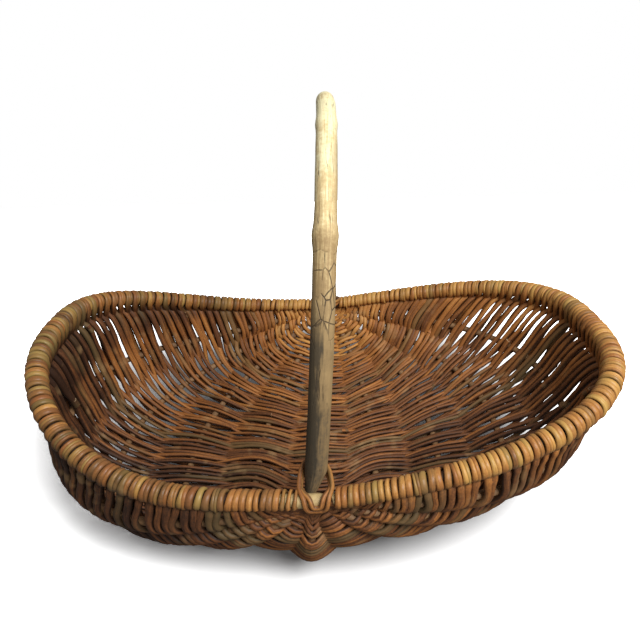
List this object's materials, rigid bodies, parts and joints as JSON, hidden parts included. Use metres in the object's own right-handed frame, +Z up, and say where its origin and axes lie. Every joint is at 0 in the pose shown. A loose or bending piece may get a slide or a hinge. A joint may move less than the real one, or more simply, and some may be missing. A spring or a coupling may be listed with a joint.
{
  "type": "gathering basket",
  "caption": "Shallow oval frame basket of brown willow with upswept ends, a wrapped rim, slender ribs and a bow handle made of a bent branch.",
  "frame": {"origin": "middle of the basket's box on the surface it stands on", "axes": "+Z up, +X along the basket to the end that is on the right in the picture, +Y from the front ear, with the handle's foot in front, to the rear ear"},
  "size_m": [0.617, 0.4316, 0.4421],
  "materials": {
    "weave": "unpeeled brown willow, satin",
    "rib": "willow rod, matt",
    "rim_rod": "peeled willow rod, satin",
    "handle": "debarked branch, weathered, matt",
    "lashing": "split willow, satin"
  },
  "bodies": {
    "root": {"front_ear_weave": "weave", "front_fan_weave": "weave", "front_quarter_weave": "weave", "front_side_weave": "weave", "rear_side_weave": "weave", "rear_quarter_weave": "weave", "rear_fan_weave": "weave", "rear_ear_weave": "weave", "keel_rib": "rib", "rib_left_1": "rib", "rib_left_2": "rib", "rib_left_3": "rib", "rib_left_4": "rib", "rib_right_1": "rib", "rib_right_2": "rib", "rib_right_3": "rib", "rib_right_4": "rib", "rim_rod": "rim_rod", "handle_bow": "handle", "front_lashing": "lashing", "rear_lashing": "lashing"}
  },
  "joints": []
}
